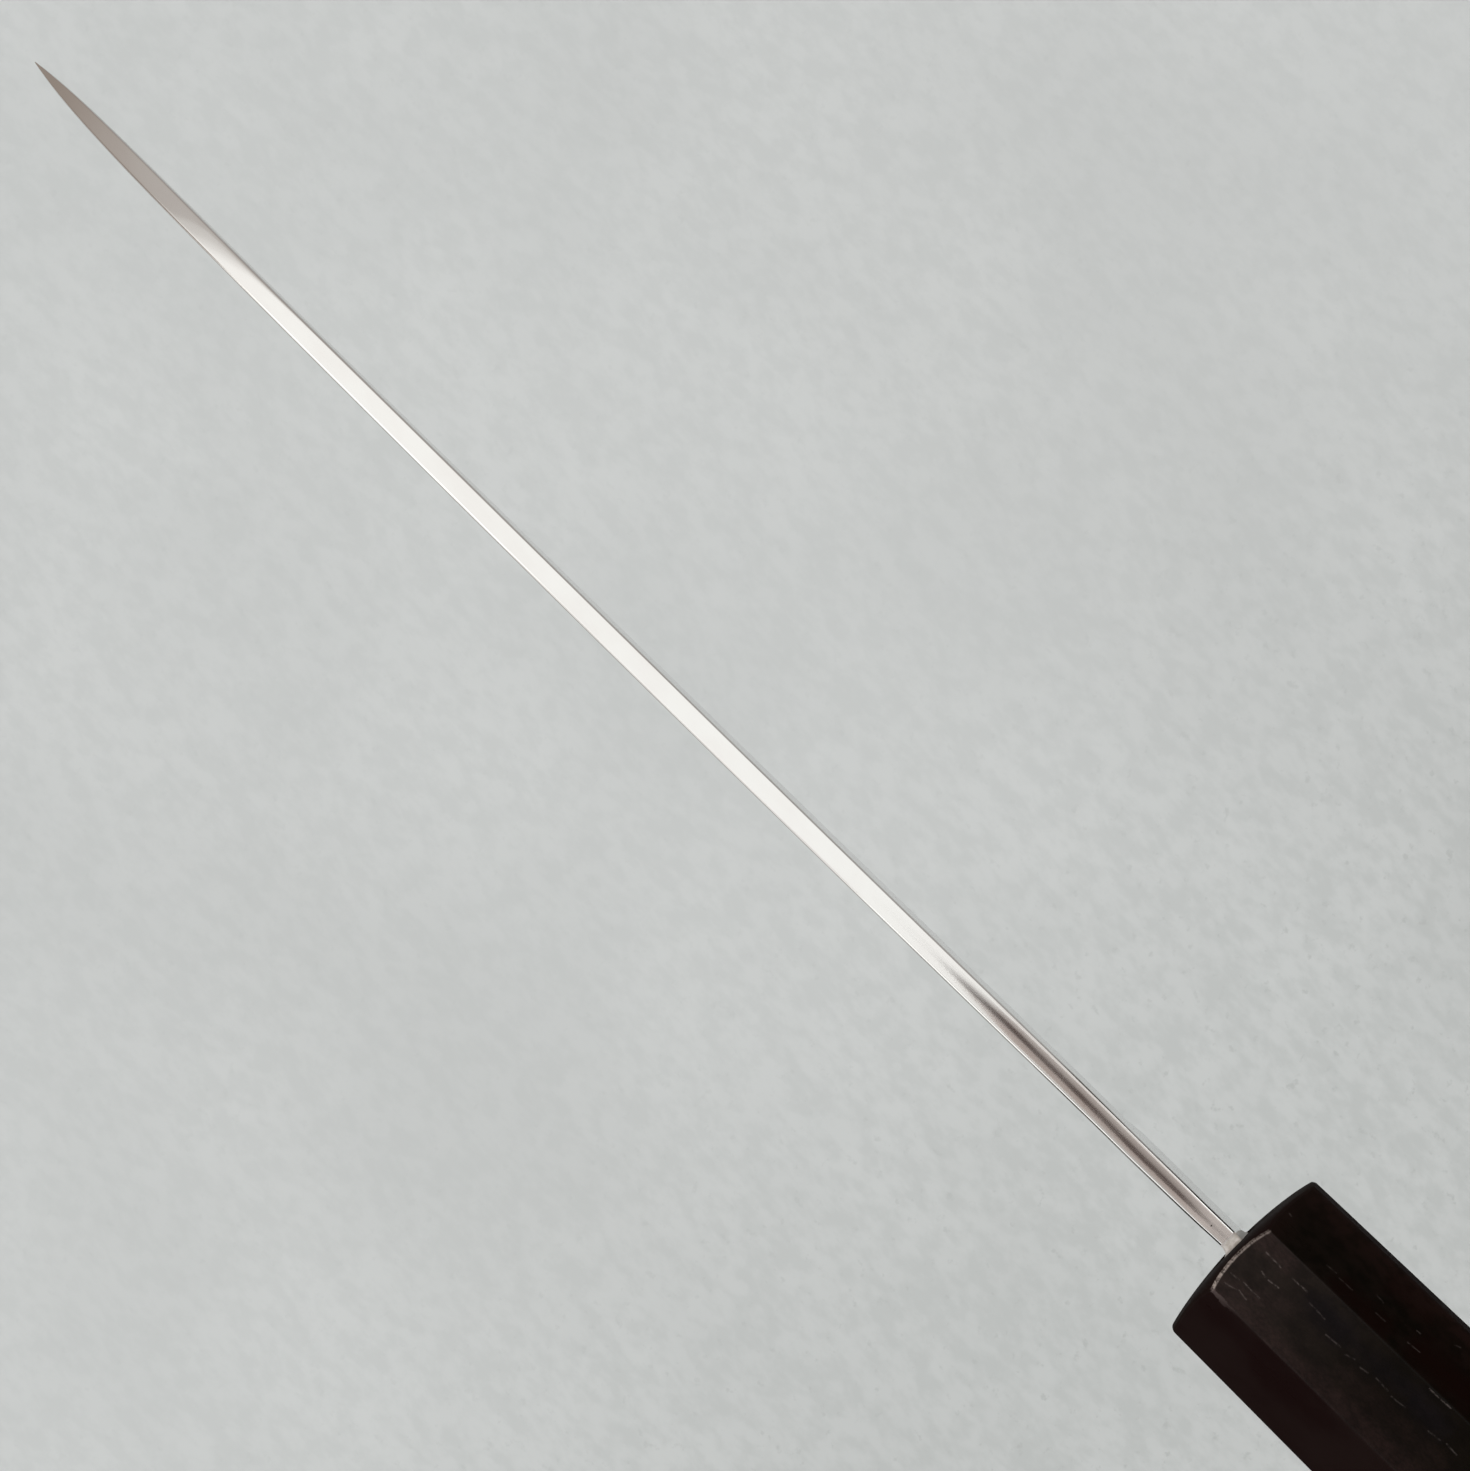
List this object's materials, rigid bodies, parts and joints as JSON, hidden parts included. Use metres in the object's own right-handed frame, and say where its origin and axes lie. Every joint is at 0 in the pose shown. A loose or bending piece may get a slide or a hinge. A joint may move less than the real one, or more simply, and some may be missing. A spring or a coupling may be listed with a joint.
{
  "type": "petty knife",
  "caption": "Slim utility knife: thin double-ground blade with a hidden tang bedded in a one-piece octagonal dark wood handle.",
  "frame": {"origin": "middle of the knife's length and width, at the level of its lowest point, which is the cutting edge at the heel", "axes": "+X along the knife from the tip to the butt of the handle, +Y across it to the blade's one side, +Z from the edge to the spine"},
  "size_m": [0.291, 0.0236, 0.0364],
  "materials": {
    "blade_steel": "polished spine, satin faces",
    "dark_wood": "oiled, satin",
    "bedding_resin": "cast",
    "cream_seal": "wiped"
  },
  "bodies": {
    "root": {"blade": "blade_steel", "handle_body": "dark_wood", "tang_bedding": "bedding_resin", "mouth_seal": "cream_seal"}
  },
  "joints": []
}
